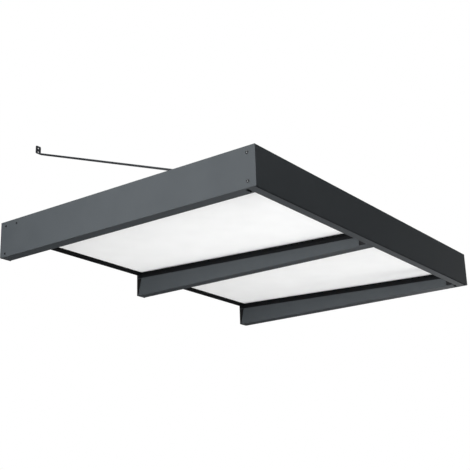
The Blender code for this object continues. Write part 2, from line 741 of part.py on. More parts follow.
def add_glazing(plane, beams):
    """Everything that lies on the slope: panes, rails, clamps, rubber and rivets."""
    run = 1 / math.cos(PANE_ANGLE)
    pane_start = (BACK - WALL_LEG - PANE_WALL_GAP) * run
    pane_end = (FRONT_INNER - SEAT_LEDGE_WIDTH - PANE_OVERHANG) * run
    for side, bay in ((-1, "left"), (1, "right")):
        low, high = bay_limits(side)
        bm = bmesh.new()
        add_box(bm, (low + PANE_SIDE_GAP, pane_end, 0), (high - PANE_SIDE_GAP, pane_start, PANE_THICKNESS))
        add_object("pane_" + bay, bm, plane, opal())

    start, end = slope_reach()
    clamp_start, clamp_end = clamp_reach()
    over = PANE_THICKNESS + SEAL_THICKNESS
    for name, _, face, side in rail_sites():
        section = angle_section(face, side, RAIL_WIDTH, RAIL_HEIGHT, RAIL_WALL, -SEAT_THICKNESS, False)
        bm = prism(bmesh.new(), [section], "Y", end, start)
        rail = add_object("support_rail_" + name, bm, plane, black_coat())
        add_rivets(rail, face, side, rail_rivet_level(), slope_reach(), RAIL_WALL, plane)
        section = angle_section(face, side, CLAMP_WIDTH, CLAMP_HEIGHT, CLAMP_WALL, over, True)
        bm = prism(bmesh.new(), [section], "Y", clamp_end, clamp_start)
        clamp = add_object("clamp_angle_" + name, bm, plane, powder_coat())
        add_rivets(clamp, face, side, clamp_rivet_level(), clamp_reach(), CLAMP_WALL, plane)

        inside = face + side * (RAIL_WIDTH + FIT)
        near, far = sorted((inside, inside - side * SEAT_WIDTH))
        bm = add_box(bmesh.new(), (near, end, FIT - SEAT_THICKNESS), (far, start, -FIT))
        add_object("pane_seat_" + name, bm, plane, rubber())
        inside = face + side * (CLAMP_WIDTH + FIT)
        near, far = sorted((inside, inside - side * SEAL_WIDTH))
        bm = add_box(bmesh.new(), (near, clamp_end, PANE_THICKNESS + FIT), (far, clamp_start, over - FIT))
        add_object("clamp_seal_" + name, bm, plane, rubber())

    for name, beam in beams.items():
        add_rivet_holes(name, beam, [site for site in rail_sites() if site[1] == name], plane)


def add_wall_rubber(side, bay, parent):
    """Seat on the wall rail's ledge and seal under its lip."""
    low, high = bay_limits(side)
    lap = RAIL_WIDTH + 3 * FIT
    ledge_end = BACK - WALL_LEDGE
    seat_start = ledge_end + WALL_SEAT_WIDTH
    section = [on_slope(ledge_end, FIT - SEAT_THICKNESS), on_slope(ledge_end, -FIT),
               on_slope(seat_start, -FIT), on_slope(seat_start, FIT - SEAT_THICKNESS)]
    bm = prism(bmesh.new(), [section], "X", low + lap, high - lap)
    add_object("wall_seat_" + bay, bm, parent, rubber())
    lip_end = BACK - WALL_LIP
    base = PANE_THICKNESS + FIT
    roof = PANE_THICKNESS + SEAL_THICKNESS - FIT
    section = [on_slope(lip_end, base), on_slope(lip_end, roof), on_slope(lip_end + SEAL_WIDTH, roof),
               on_slope(lip_end + SEAL_WIDTH, base)]
    bm = prism(bmesh.new(), [section], "X", low + PANE_SIDE_GAP, high - PANE_SIDE_GAP)
    add_object("wall_seal_" + bay, bm, parent, rubber())


def add_front_seat(side, bay, parent):
    """Rubber on the gutter's upstand that carries the pane's front edge."""
    low, high = bay_limits(side)
    back = FRONT_INNER
    front = FRONT_INNER - SEAT_LEDGE_WIDTH
    base = upstand_top() + FIT
    section = [(back, base), (front, base), on_slope(front, -FIT), on_slope(back, -FIT)]
    bm = prism(bmesh.new(), [section], "X", low + PANE_SIDE_GAP, high - PANE_SIDE_GAP)
    add_object("front_seat_" + bay, bm, parent, rubber())


def bent_outline(corners, thickness, radius, steps=4):
    """Outline of a flat bar that follows corner points, with a round bend at each inner corner."""
    path = [Vector(p) for p in corners]
    samples = []
    for i, point in enumerate(path):
        before = (point - path[i - 1]).normalized() if i else None
        after = (path[i + 1] - point).normalized() if i + 1 < len(path) else None
        if before is None or after is None:
            way = after if before is None else before
            samples.append((point, Vector((-way.y, way.x))))
            continue
        turn = before.angle_signed(after)
        sign = -1 if turn > 0 else 1
        setback = radius * math.tan(abs(turn) / 2)
        normal = Vector((-before.y, before.x))
        centre = point - before * setback + normal * radius * sign
        for k in range(steps + 1):
            spun = Matrix.Rotation(-turn * k / steps, 2) @ normal
            samples.append((centre - spun * radius * sign, spun))
    left = [p + n * thickness / 2 for p, n in samples]
    right = [p - n * thickness / 2 for p, n in samples]
    return [(p.x, p.y) for p in left + right[::-1]]


def tie_corners():
    """Centre line of a tie bar: wall tab, bend, slope, bend and foot tab, as (y, z)."""
    wall = -TIE_THICKNESS / 2
    foot = FRONT + SLOT_FACE + FIT + TIE_THICKNESS / 2
    low = SLOT_HEIGHT - TIE_FOOT_RISE
    high = low + (wall - foot) * math.tan(TIE_ANGLE)
    return [(wall, high + TIE_WALL_TAB), (wall, high), (foot, low), (foot, SLOT_HEIGHT + TIE_FOOT_TOP)]


def corner_waste(x, z, side):
    """What is cut off one upper corner of a tab to round it, as an outline in x and z."""
    points = arc(0, 0, TIE_CORNER, 0, 90, 4)
    points += [(0, 2 * TIE_CORNER), (2 * TIE_CORNER, 2 * TIE_CORNER), (2 * TIE_CORNER, 0)]
    return [(x + side * (a - TIE_CORNER), z + b - TIE_CORNER) for a, b in points]


def add_tie(side, name, parent):
    """Flat tie bar with its tabs, in one piece, and the bolt and nut of its foot."""
    middle = side * TIE_FROM_MIDDLE
    corners = tie_corners()
    outline = bent_outline(corners, TIE_THICKNESS, TIE_BEND_RADIUS)
    bm = prism(bmesh.new(), [outline], "X", middle - TIE_WIDTH / 2, middle + TIE_WIDTH / 2)
    tie = add_object(name + "_tie_bar", bm, parent, powder_coat())
    holes = bmesh.new()
    top = corners[0][1]
    for z in (top - TIE_HOLE_DROP, top - TIE_HOLE_DROP - TIE_HOLE_SPACING):
        prism(holes, [circle(middle, z, TIE_HOLE_RADIUS)], "Y", -2 * TIE_THICKNESS, TIE_THICKNESS)
    face = FRONT + SLOT_FACE
    prism(holes, [circle(middle, SLOT_HEIGHT, TIE_HOLE_RADIUS)], "Y",
          face - TIE_THICKNESS, face + 2 * TIE_THICKNESS)
    for end in (-1, 1):
        x = middle + end * TIE_WIDTH / 2
        prism(holes, [corner_waste(x, top, end)], "Y", -2 * TIE_THICKNESS, TIE_THICKNESS)
        prism(holes, [corner_waste(x, corners[3][1], end)], "Y",
              face - TIE_THICKNESS, face + 2 * TIE_THICKNESS)
    combine(tie, add_cutter("cut_" + name + "_tie_bar", holes, parent))

    nut_front = face + 2 * FIT + TIE_THICKNESS
    tip = nut_front + TIE_NUT_THICKNESS + TIE_BOLT_TAIL
    head = SLOT_ROOM / 2 - FIT
    head_back = FRONT + FACE_WALL + SLOT_DEPTH - FIT
    head_front = head_back - TIE_BOLT_HEAD_THICKNESS
    bm = bmesh.new()
    add_box(bm, (middle - head, head_front, SLOT_HEIGHT - head), (middle + head, head_back, SLOT_HEIGHT + head))
    bolt = add_object(name + "_tie_bolt", bm, parent, steel())
    shank = prism(bmesh.new(), [circle(middle, SLOT_HEIGHT, TIE_BOLT_RADIUS)], "Y",
                  (head_front + head_back) / 2, tip)
    combine(bolt, add_cutter("shank_" + name + "_tie_bolt", shank, parent), "UNION")

    corner = TIE_NUT_ACROSS_FLATS / math.sqrt(3)
    loops = [circle(middle, SLOT_HEIGHT, corner, 6),
             circle(middle, SLOT_HEIGHT, TIE_BOLT_RADIUS + FIT)]
    bm = prism(bmesh.new(), loops, "Y", nut_front, nut_front + TIE_NUT_THICKNESS)
    add_object(name + "_tie_nut", bm, parent, steel())


def add_plate_screws(side, name, parent):
    """Two larger pan heads near the front and three low heads over the wall bracket."""
    front, wall = plate_screw_places()
    corner = screw_outline(CORNER_HEAD_RADIUS, CORNER_HEAD_HEIGHT, CORNER_SCREW_LENGTH)
    bracket = screw_outline(BRACKET_HEAD_RADIUS, BRACKET_HEAD_HEIGHT, BRACKET_SCREW_LENGTH)
    screws = [("corner_screw_low", corner, front[0], powder_coat()),
              ("corner_screw_high", corner, front[1], powder_coat()),
              ("bracket_screw_high", bracket, wall[0], black_coat()),
              ("bracket_screw_reach", bracket, wall[1], black_coat()),
              ("bracket_screw_low", bracket, wall[2], black_coat())]
    for label, outline, (y, z), surface in screws:
        bm = add_turned(bmesh.new(), outline, along_x(side, HALF + FIT, y, z), HEAD_STEPS)
        add_object(name + "_" + label, bm, parent, surface, smooth=True)


def build():
    clear_scene()
    canopy = add_empty("canopy", None, (0, 0, -HEIGHT / 2))
    glazing = add_empty("glazing_plane", canopy, (0, 0, PANE_HEIGHT_AT_WALL), PANE_ANGLE)

    beams = {}
    for side, name in ((-1, "left"), (1, "right")):
        add_side_plate(name + "_side_plate", side, canopy)
        beams[name] = add_beam(name + "_side_beam", side, canopy)
        add_plate_screws(side, name, canopy)
        add_wall_rail("wall_rail_" + name, side, canopy)
        add_wall_strip("wall_strip_" + name, side, canopy)
        add_wall_rubber(side, name, canopy)
        add_front_seat(side, name, canopy)
        add_tie(side, name, canopy)
    beams["middle"] = add_rib("middle_rib", canopy)
    add_front_profile(canopy)

    webs = {"left": (-1,), "middle": (-1, 1), "right": (1,)}
    cheeks = {"left": (1,), "middle": (-1, 1), "right": (-1,)}
    edges = {"left": (-BEAM_OUT, -BEAM_IN), "middle": (-RIB_HALF, RIB_HALF), "right": (BEAM_IN, BEAM_OUT)}
    for name, (middle, half) in connector_middles().items():
        add_boot(name + "_wall_boot", cheeks[name], *edges[name], middle, canopy)
        add_connector(name + "_front_connector", middle, half, canopy)
        add_bracket(name + "_wall_bracket", webs[name], middle, half, canopy)
    add_glazing(glazing, beams)


build()
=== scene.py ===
# %% [markdown]
# # A flat door canopy, dressed for its picture
# The canopy hangs over an entrance: a dark box frame of powder-coated aluminium, two white opal
# panes that slope towards a gutter in the front profile, and two flat tie bars up to the wall.
# Its solids were made as a CAD model with true sizes. This lesson loads them, gives every piece
# the finish of the real material, and makes finer meshes where the looks need more than a plain
# solid: screws, bolts, nuts, rivet heads, panes and rubber strips. Lengths are metres.

# %% Load the solid model
import json
import math

import bmesh
import bpy
import numpy as np
from mathutils import Matrix, Vector


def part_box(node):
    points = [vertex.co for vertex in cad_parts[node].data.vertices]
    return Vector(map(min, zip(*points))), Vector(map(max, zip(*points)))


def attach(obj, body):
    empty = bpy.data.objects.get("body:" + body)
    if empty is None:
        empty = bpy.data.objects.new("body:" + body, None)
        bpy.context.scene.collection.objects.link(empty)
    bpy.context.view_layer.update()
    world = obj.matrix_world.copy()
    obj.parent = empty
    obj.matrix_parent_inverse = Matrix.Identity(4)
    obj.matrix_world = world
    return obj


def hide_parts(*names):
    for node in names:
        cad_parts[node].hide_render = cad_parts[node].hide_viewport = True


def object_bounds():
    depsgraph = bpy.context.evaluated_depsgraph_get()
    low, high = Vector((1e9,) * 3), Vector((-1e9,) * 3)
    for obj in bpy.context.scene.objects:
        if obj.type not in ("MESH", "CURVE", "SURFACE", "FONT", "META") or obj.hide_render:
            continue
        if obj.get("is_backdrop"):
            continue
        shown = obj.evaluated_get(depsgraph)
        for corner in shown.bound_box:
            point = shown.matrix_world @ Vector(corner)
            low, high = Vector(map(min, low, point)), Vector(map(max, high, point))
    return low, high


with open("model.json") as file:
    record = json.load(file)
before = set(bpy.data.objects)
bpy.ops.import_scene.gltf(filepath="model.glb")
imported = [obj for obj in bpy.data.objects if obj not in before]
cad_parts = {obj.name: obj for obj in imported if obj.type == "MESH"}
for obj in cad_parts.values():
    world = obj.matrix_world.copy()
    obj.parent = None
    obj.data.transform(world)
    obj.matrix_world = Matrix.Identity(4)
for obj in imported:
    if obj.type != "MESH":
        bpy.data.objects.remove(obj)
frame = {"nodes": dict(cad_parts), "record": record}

MM = 0.001
cad_low, cad_high = [list(corner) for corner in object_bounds()]
print("CAD nodes:", len(frame["nodes"]))
print("CAD box, mm:", [round((high - low) / MM) for low, high in zip(cad_low, cad_high)])

# %% [markdown]
# ## Colour and nodes
# A paint chart gives colours as sRGB hex values, but a shader works in linear light, so one
# function turns the one into the other. One more function adds a shader node, sets its values
# and joins it to the nodes before it. Everything below is built with these two.

# %% Colour and node helpers
def linear(code):
    """sRGB hex to linear RGBA: low values are divided by 12.92, others go to the power of 2.4."""
    value = np.array([int(code[i:i + 2], 16) for i in (0, 2, 4)]) / 255
    light = np.where(value <= 0.04045, value / 12.92, ((value + 0.055) / 1.055) ** 2.4)
    return (*light.tolist(), 1.0)


def add_node(tree, kind, settings=(), inputs=(), links=()):
    """One node, with attributes to set, values for its sockets, and sockets to join to it."""
    node = tree.nodes.new(kind)
    for name, value in dict(settings).items():
        setattr(node, name, value)
    for name, value in dict(inputs).items():
        node.inputs[name].default_value = value
    for name, socket in dict(links).items():
        tree.links.new(socket, node.inputs[name])
    return node


print("anthracite in linear light:", [round(v, 3) for v in linear("3A3E41")])

# %% [markdown]
# ## A base for all finishes
# Each finish is a Principled shader fed by patterns in the object's own coordinates. Every piece
# has its object at the world's origin, so one pattern runs on through neighbours that came off the
# same paint line. A Noise texture's scale is the number of grains in a metre, so it is worked out
# from the real size of a grain: a 2 mm grain is a scale of 500. Where a skin is thicker, it is
# often a little duller too, so one pattern drives both the tone and the roughness.

# %% Start a finish
def start_finish(name, roughness, metallic=0.0, values=()):
    """A Principled material with constants on its own sockets, and the parts to build on."""
    made = bpy.data.materials.new(name)
    made.use_nodes = True
    tree = made.node_tree
    shader = tree.nodes["Principled BSDF"]
    shader.inputs["Roughness"].default_value = roughness
    shader.inputs["Metallic"].default_value = metallic
    for socket, value in dict(values).items():
        shader.inputs[socket].default_value = value
    place = add_node(tree, "ShaderNodeTexCoord").outputs["Object"]
    return made, tree, shader, place


# %% Grain, tone and relief
def grain(tree, place, size, detail=2.0, squeeze=(1, 1, 1)):
    """Noise with grains of size metres; a squeeze above 1 shortens them along that axis."""
    turned = add_node(tree, "ShaderNodeMapping", inputs={"Scale": squeeze},
                      links={"Vector": place})
    return add_node(tree, "ShaderNodeTexNoise", inputs={"Scale": 1 / size, "Detail": detail},
                    links={"Vector": turned.outputs["Vector"]}).outputs["Fac"]


def between(tree, amount, low, high):
    """Map a pattern from its usual 0.3 to 0.7 onto the range low to high."""
    return add_node(tree, "ShaderNodeMapRange",
                    inputs={"From Min": 0.3, "From Max": 0.7, "To Min": low, "To Max": high},
                    links={"Value": amount}).outputs["Result"]


def tint(tree, amount, dark, light):
    """A colour between two hex values, chosen by a pattern."""
    mix = add_node(tree, "ShaderNodeMix", {"data_type": "RGBA"},
                   links={"Factor": between(tree, amount, 0, 1)})
    mix.inputs["A"].default_value = linear(dark)
    mix.inputs["B"].default_value = linear(light)
    return mix.outputs["Result"]


def vary(tree, shader, amount, dark, light, low, high):
    """Let one pattern choose the colour from dark to light, and the roughness from low to high."""
    tree.links.new(tint(tree, amount, dark, light), shader.inputs["Base Color"])
    tree.links.new(between(tree, amount, low, high), shader.inputs["Roughness"])


def relief(tree, shader, heights, depth):
    """Bump from several patterns added together; depth is the real height of the relief."""
    total = heights[0]
    for extra in heights[1:]:
        total = add_node(tree, "ShaderNodeMath", {"operation": "ADD"},
                         links={0: total, 1: extra}).outputs[0]
    bump = add_node(tree, "ShaderNodeBump", inputs={"Strength": 1.0, "Distance": depth},
                    links={"Height": total})
    tree.links.new(bump.outputs["Normal"], shader.inputs["Normal"])


print("a 2 mm grain is a scale of", 1 / (2 * MM))

# %% [markdown]
# ## Powder-coated aluminium, anthracite
# The frame's extrusions and plates are aluminium, sprayed with polyester powder and baked. The
# powder melts into a satin skin about 80 micrometres thick, which stays slightly pebbled: grains
# near 1.5 mm across and only some micrometres high. The skin's thickness drifts over a hand's
# width, and with it the tone, by a few hundredths. The eye reads an even dark grey with soft,
# broad reflections. A clear paint over metal could be modelled in two coats, but one dielectric
# layer gives the same look, because nothing of the metal shows through. The tie bars are flat steel
# in the same coat, one shade darker: painted shade for their undersides, seen from below in
# shadow. The corner screws are darker still, painted shade for the dark rim round each head, and
# shiny, so that each head shows one small bright spot inside that dark rim.

# %% Anthracite powder coat
def powder_coat(name, dark, light, roughness, shine):
    """A drifting tone, a pebbled skin, and under it faint lines along Y from the drawing die."""
    made, tree, shader, place = start_finish(
        name, roughness, values={"IOR": 1.5, "Specular IOR Level": shine})
    cloud = grain(tree, place, 90 * MM, detail=3.0)
    pebble = grain(tree, place, 1.5 * MM, detail=1.0)
    draw_lines = grain(tree, place, 4 * MM, detail=1.0, squeeze=(1, 0.02, 1))
    vary(tree, shader, cloud, dark, light, roughness - 0.02, roughness + 0.02)
    relief(tree, shader, [pebble, draw_lines], depth=0.012 * MM)
    return made


anthracite = powder_coat("powder_coated_aluminium_anthracite", "3A3E41", "3D4144", 0.5, 0.2)
# Painted shade: the tie bars' coat is one shade darker than the frame's, for their shaded
# undersides.
tie_coat_painted_shade = powder_coat("powder_coated_steel_anthracite_painted_shade", "292C2F", "2C2F32", 0.5, 0.15)
# Painted shade: the corner screws are darker than the plates, for the dark rim round each head.
screw_coat_painted_shade = powder_coat("shiny_steel_screws_painted_shade", "24272A", "282B2E", 0.26, 0.7)
print("made:", anthracite.name, tie_coat_painted_shade.name, "and", screw_coat_painted_shade.name)

# %% [markdown]
# ## Powder-coated aluminium, black
# The glazing rails on the ribs and at the wall are coated in a finer, darker powder, so that they
# vanish beside the white panes. The recipe is the one above, with darker colours and less shine.

# %% Black powder coat
black_coat = powder_coat("powder_coated_aluminium_black", "0A0B0D", "0F1113", 0.55, 0.08)
print("made:", black_coat.name)

# %% [markdown]
# ## EPDM rubber
# Boots, strips and seals are EPDM, a rubber filled with carbon black and pressed through a die or
# in a mould. It is the darkest and dullest thing on the canopy, with a faint bloom that greys it
# in patches of a few centimetres, and a skin as rough as fine leather.

# %% Black EPDM
def epdm_rubber():
    """Bloom in wide patches over a fine leathery skin."""
    made, tree, shader, place = start_finish(
        "epdm_rubber_black", 0.75, values={"Specular IOR Level": 0.1})
    bloom = grain(tree, place, 35 * MM, detail=3.0)
    skin = grain(tree, place, 0.8 * MM)
    vary(tree, shader, bloom, "0C0C0D", "131314", 0.68, 0.82)
    relief(tree, shader, [skin], depth=0.03 * MM)
    return made


rubber = epdm_rubber()
print("made:", rubber.name)

# %% [markdown]
# ## Opal acrylic
# The panes are cast acrylic with white pigment. Light goes in, scatters within the 4 mm sheet and
# comes out on both sides, so the underside glows when the sky is bright. A plain white surface
# would be grey from below. Subsurface scattering through the closed sheet gives the glow, and its
# length is ten times the sheet's thickness, so that light gets through. The skin is satin and
# mirrors almost nothing, with the long soft waves that cast sheet has.

# %% Opal acrylic
def opal_acrylic():
    """White that scatters light through the sheet, under a satin skin with long waves."""
    made, tree, shader, place = start_finish("opal_acrylic_cast_sheet", 0.35, values={
        "IOR": 1.49, "Specular IOR Level": 0.04, "Subsurface Weight": 1.0,
        "Subsurface Radius": (1.0, 1.0, 0.96), "Subsurface Scale": 40 * MM})
    wave = grain(tree, place, 120 * MM, detail=1.0)
    vary(tree, shader, wave, "F4F6F6", "F8FAFA", 0.32, 0.38)
    relief(tree, shader, [wave], depth=0.05 * MM)
    return made


opal = opal_acrylic()
print("made:", opal.name)

# %% [markdown]
# ## Zinc-plated steel, and glass-filled nylon
# Wall brackets, bolts and nuts are pressed or turned from steel and plated with bright zinc: a
# blue-grey metal with a slightly cloudy shine. The corner connectors inside the frame are moulded
# from black nylon with glass fibre, which leaves a matt skin with fine flow marks.

# %% Zinc plate and nylon
def zinc_plate():
    """Metal with small clouds in tone and shine."""
    made, tree, shader, place = start_finish("zinc_plated_steel", 0.34, metallic=1.0)
    cloud = grain(tree, place, 6 * MM, detail=3.0)
    vary(tree, shader, cloud, "A4A8AC", "C3C6C9", 0.28, 0.42)
    return made


def filled_nylon():
    """Matt black with flow marks, three times as long along Y as across."""
    made, tree, shader, place = start_finish(
        "glass_filled_nylon_black", 0.6, values={"Specular IOR Level": 0.15})
    flow = grain(tree, place, 8 * MM, detail=3.0, squeeze=(1, 0.3, 1))
    vary(tree, shader, flow, "121214", "1A1A1C", 0.54, 0.68)
    relief(tree, shader, [flow], depth=0.02 * MM)
    return made


zinc = zinc_plate()
nylon = filled_nylon()
print("made:", zinc.name, "and", nylon.name)

# %% [markdown]
# ## Dress the CAD nodes
# The record lists each node with the slot of its material, so the finishes can be handed out by
# slot, and a node that is added later gets its finish without a change here.

# %% Hand out the finishes
finishes = {"frame": anthracite, "black_metal": black_coat, "rubber": rubber,
            "opal_acrylic": opal, "zinc_steel": zinc, "nylon": nylon}
for part in frame["record"]["subparts"]:
    node = frame["nodes"][part["node"]]
    node.data.materials.clear()
    # The tie bars get the darker coat, which paints the shade of their undersides.
    is_tie = part["node"].endswith("_tie_bar")
    node.data.materials.append(tie_coat_painted_shade if is_tie else finishes[part["material_slot"]])

# %% [markdown]
# ## Surfaces from arrays
# The new pieces are all grids of points: rows along the piece, columns around it. One function
# turns such a grid into a closed mesh. Each row of columns closes on itself, and the first and
# last rows are closed with a flat cap, or joined to each other where the piece is a ring.

# %% From a grid of points to a piece
SHARP_ANGLE = math.radians(35)


def add_piece(name, grids, finish, stands_for=(), ring=False):
    """Mesh from a stack of grids, shape (pieces, rows, columns, 3), each closed round its columns.

    The quad at row i and column j has corners (i, j), (i, j+1), (i+1, j+1), (i+1, j), with the
    column number taken modulo the number of columns.
    """
    grids = np.asarray(grids, float)
    grids = grids[None] if grids.ndim == 3 else grids
    count, rows, columns = grids.shape[:3]
    index = np.arange(count * rows * columns).reshape(count, rows, columns)
    here = np.concatenate([index, index[:, :1]], axis=1) if ring else index
    beside = np.roll(here, -1, axis=2)
    quads = np.stack([here[:, :-1], beside[:, :-1], beside[:, 1:], here[:, 1:]], axis=-1)
    faces = quads.reshape(-1, 4).tolist()
    if not ring:
        faces += index[:, 0, ::-1].tolist() + index[:, -1].tolist()
    mesh = bpy.data.meshes.new(name)
    mesh.from_pydata(grids.reshape(-1, 3).tolist(), [], faces)
    work = bmesh.new()
    work.from_mesh(mesh)
    bmesh.ops.recalc_face_normals(work, faces=work.faces)
    work.to_mesh(mesh)
    work.free()
    mesh.shade_smooth()
    mesh.set_sharp_from_angle(angle=SHARP_ANGLE)
    mesh.materials.append(finish)
    made = bpy.data.objects.new(name, mesh)
    bpy.context.scene.collection.objects.link(made)
    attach(made, "root")
    if stands_for:
        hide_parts(*stands_for)
    print(name + ":", len(faces), "faces")


# %% Points turned about an axis
def around(columns):
    """Angles of the columns, once round without the last."""
    return np.arange(columns) * math.tau / columns


def turned(radius, height, middle, axis):
    """Points at the given radius and height about a level axis through middle.

    With a and b two directions square to the axis, a point is middle plus radius times
    (a cos t + b sin t) plus height times the axis.
    """
    axis = np.array(axis, float)
    side = np.cross((0, 0, 1), axis)
    side /= np.linalg.norm(side)
    over = np.cross(axis, side)
    t = around(radius.shape[1])
    flat = np.cos(t)[None, :, None] * side + np.sin(t)[None, :, None] * over
    return np.array(middle) + radius[..., None] * flat + height[..., None] * axis


# %% [markdown]
# ## Pan head screws
# Ten screws hold the outer plates: two larger ones at each front corner, and three lower ones over
# each wall bracket. On the CAD model they are plain domes. Here each one is a turned outline with
# a six-lobed drive pressed into it. The lobes could be cut with a Boolean, but a recess is simpler
# as part of the same grid: beyond the rim, the radius of a row swings six times round the screw.

# %% Outline of a screw
SCREW_COLUMNS = 48
DRIVE_LOBES = 6
SHANK_RADIUS = 2.1 * MM
# The head from its rim to the recess's floor: shares of its radius and height, and the swing.
HEAD_SHARES = [(0.99, 0.12, 0), (0.95, 0.32, 0), (0.87, 0.53, 0), (0.75, 0.72, 0), (0.6, 0.87, 0),
               (0.44, 0.97, 0), (0.38, 1, 0.02), (0.33, 0.94, 0.12), (0.31, 0.4, 0.12),
               (0.2, 0.28, 0.08)]


def screw(node, head_radius, head_height):
    """A screw along X at a CAD screw's place: an outline turned round, with a lobed recess.

    A row's radius is its outline radius times (1 + swing cos 6t), where the swing is nought
    outside the recess.
    """
    low, high = (np.array(corner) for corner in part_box(node))
    middle = (low + high) / 2
    side = math.copysign(1.0, middle[0])
    seat = (high[0] if side > 0 else low[0]) - side * head_height
    tip = -abs(seat - (low[0] if side > 0 else high[0]))
    shank = [(0.3 * MM, tip, 0), (0.9 * MM, tip + 1 * MM, 0), (SHANK_RADIUS, tip + 2.4 * MM, 0),
             (SHANK_RADIUS, -0.05 * MM, 0)]
    rim = [(head_radius - 0.2 * MM, 0, 0), (head_radius, 0.2 * MM, 0)]
    head = [(wide * head_radius, rise * head_height, swing) for wide, rise, swing in HEAD_SHARES]
    outline = np.array(shank + rim + head + [(0.2 * MM, 0.2 * head_height, 0)])
    t = around(SCREW_COLUMNS)
    radius = outline[:, :1] * (1 + outline[:, 2:] * np.cos(DRIVE_LOBES * t))
    height = np.repeat(outline[:, 1:2], SCREW_COLUMNS, axis=1)
    return turned(radius, height, (seat, middle[1], middle[2]), (side, 0, 0))


# %% Screws of the outer plates
CORNER_HEAD = (5.5 * MM, 3.8 * MM)
BRACKET_HEAD = (4.0 * MM, 1.4 * MM)
for side in ("left", "right"):
    for label in ("corner_screw_low", "corner_screw_high"):
        node = side + "_" + label
        # The corner screws' darker coat paints the shade of the rim round each head.
        add_piece(node + "_turned", screw(node, *CORNER_HEAD), screw_coat_painted_shade, [node])
    for label in ("bracket_screw_high", "bracket_screw_reach", "bracket_screw_low"):
        node = side + "_" + label
        add_piece(node + "_turned", screw(node, *BRACKET_HEAD), black_coat, [node])

# %% [markdown]
# ## Bolts and nuts of the tie bars
# Each tie bar's foot is clamped by a bolt whose square head sits in a slot of the front profile,
# where it can't turn. The CAD bolt is plain. Here one grid makes head, shank and thread: the head's
# rows are squares, and the shank's rows are circles with a ridge that climbs by one pitch a turn.
# The nut is a ring, with the bevelled corners that come from turning its two faces on a lathe.

# %% T-bolts
THREAD_PITCH = 1.0 * MM
THREAD_DEPTH = 0.55 * MM
THREAD_CREST = 2.95 * MM
THREAD_FADE = 1.2 * MM
THREAD_STEP = 0.2 * MM
BOLT_HEAD = 3.6 * MM
BOLT_EDGE = 0.4 * MM
BOLT_TIP = 0.6 * MM
BOLT_COLUMNS = 48


def square_radius(half, t):
    """Distance from the middle to the edge of a square of the given half width, at angle t."""
    return half / np.maximum(np.abs(np.cos(t)), np.abs(np.sin(t)))


def tie_bolt(node):
    """A square head and a threaded shank along -Y to +Y.

    On the shank the radius is the crest's, less the depth times one minus a triangle wave of
    height / pitch - t / full turn, which is a helix. The depth fades to nought at both ends.
    """
    low, high = (np.array(corner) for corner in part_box(node))
    middle = (low + high) / 2
    half = (high[0] - low[0]) / 2
    length = high[1] - low[1]
    t = around(BOLT_COLUMNS)
    steps = np.arange(BOLT_HEAD, length - BOLT_TIP, THREAD_STEP)
    wave = steps[:, None] / THREAD_PITCH - t / math.tau
    ridge = np.abs((wave % 1.0) * 2 - 1)
    from_ends = np.minimum(steps - BOLT_HEAD, steps[-1] - steps)[:, None]
    fade = np.clip(from_ends / THREAD_FADE, 0, 1)
    shank = THREAD_CREST - THREAD_DEPTH * (1 - ridge) * fade
    face, back = BOLT_EDGE / 2, BOLT_HEAD - BOLT_EDGE / 2
    squares = [(0, half - BOLT_EDGE), (0, half - BOLT_EDGE / 2), (face, half),
               (BOLT_HEAD - BOLT_EDGE, half), (back, half - BOLT_EDGE / 2)]
    head = [square_radius(size, t) for _, size in squares]
    neck = [np.full(BOLT_COLUMNS, THREAD_CREST)]
    tip = [np.full(BOLT_COLUMNS, THREAD_CREST - cut * MM) for cut in (0.5, 1.2)]
    radius = np.concatenate([head, neck, shank, tip])
    height = np.concatenate([[rise for rise, _ in squares], [back], steps,
                             [length - 0.1 * MM, length]])
    foot = (middle[0], low[1], middle[2])
    return turned(radius, height[:, None] * np.ones(BOLT_COLUMNS), foot, (0, 1, 0))


for side in ("left", "right"):
    node = side + "_tie_bolt"
    add_piece(node + "_threaded", tie_bolt(node), zinc, [node])

# %% Hex nuts
NUT_COLUMNS = 72
NUT_BORE = 3.25 * MM
BORE_CHAMFER = 0.35 * MM
FACE_SHARE = 0.97
CHAMFER_SLOPE = math.tan(math.radians(60))
CHAMFER_ROWS = np.array([0, 0.15, 0.3, 0.45, 0.6, 0.8]) * MM


def hex_nut(node):
    """A ring: rows run up the outside, in over the face, down the bore and back out.

    The outside is a hexagon, so its radius is half the width across flats divided by the cosine of
    the angle to the middle of a flat. Near both faces a cone cuts it off: there the radius is at
    most 0.97 of that half width plus the height above the face times the slope of the cone.
    """
    low, high = (np.array(corner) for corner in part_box(node))
    middle = (low + high) / 2
    thick = high[1] - low[1]
    flat = (high[2] - low[2]) / 2
    t = around(NUT_COLUMNS)
    hexagon = flat / np.cos((t + math.pi / 2) % (math.tau / 6) - math.tau / 12)
    up = np.concatenate([CHAMFER_ROWS, thick - CHAMFER_ROWS[::-1]])
    cone = FACE_SHARE * flat + np.minimum(up, thick - up) * CHAMFER_SLOPE
    outside = np.minimum(hexagon[None], cone[:, None])
    mouth = NUT_BORE + BORE_CHAMFER
    inside = np.array([[mouth], [NUT_BORE], [NUT_BORE], [mouth]]) * np.ones(NUT_COLUMNS)
    down = np.array([thick, thick - BORE_CHAMFER, BORE_CHAMFER, 0])
    radius = np.concatenate([outside, inside])
    height = np.concatenate([up, down])[:, None] * np.ones(NUT_COLUMNS)
    return turned(radius, height, (middle[0], low[1], middle[2]), (0, 1, 0))


for side in ("left", "right"):
    node = side + "_tie_nut"
    add_piece(node + "_chamfered", hex_nut(node), zinc, [node], ring=True)

# %% [markdown]
# ## The sloping plane
# Panes, rails, clamps and their rubber lie on one plane that falls 2.15 degrees from the wall to
# the gutter. Pieces on it are drawn flat, in lengths across, along and above the plane, and one
# function tilts them into place.

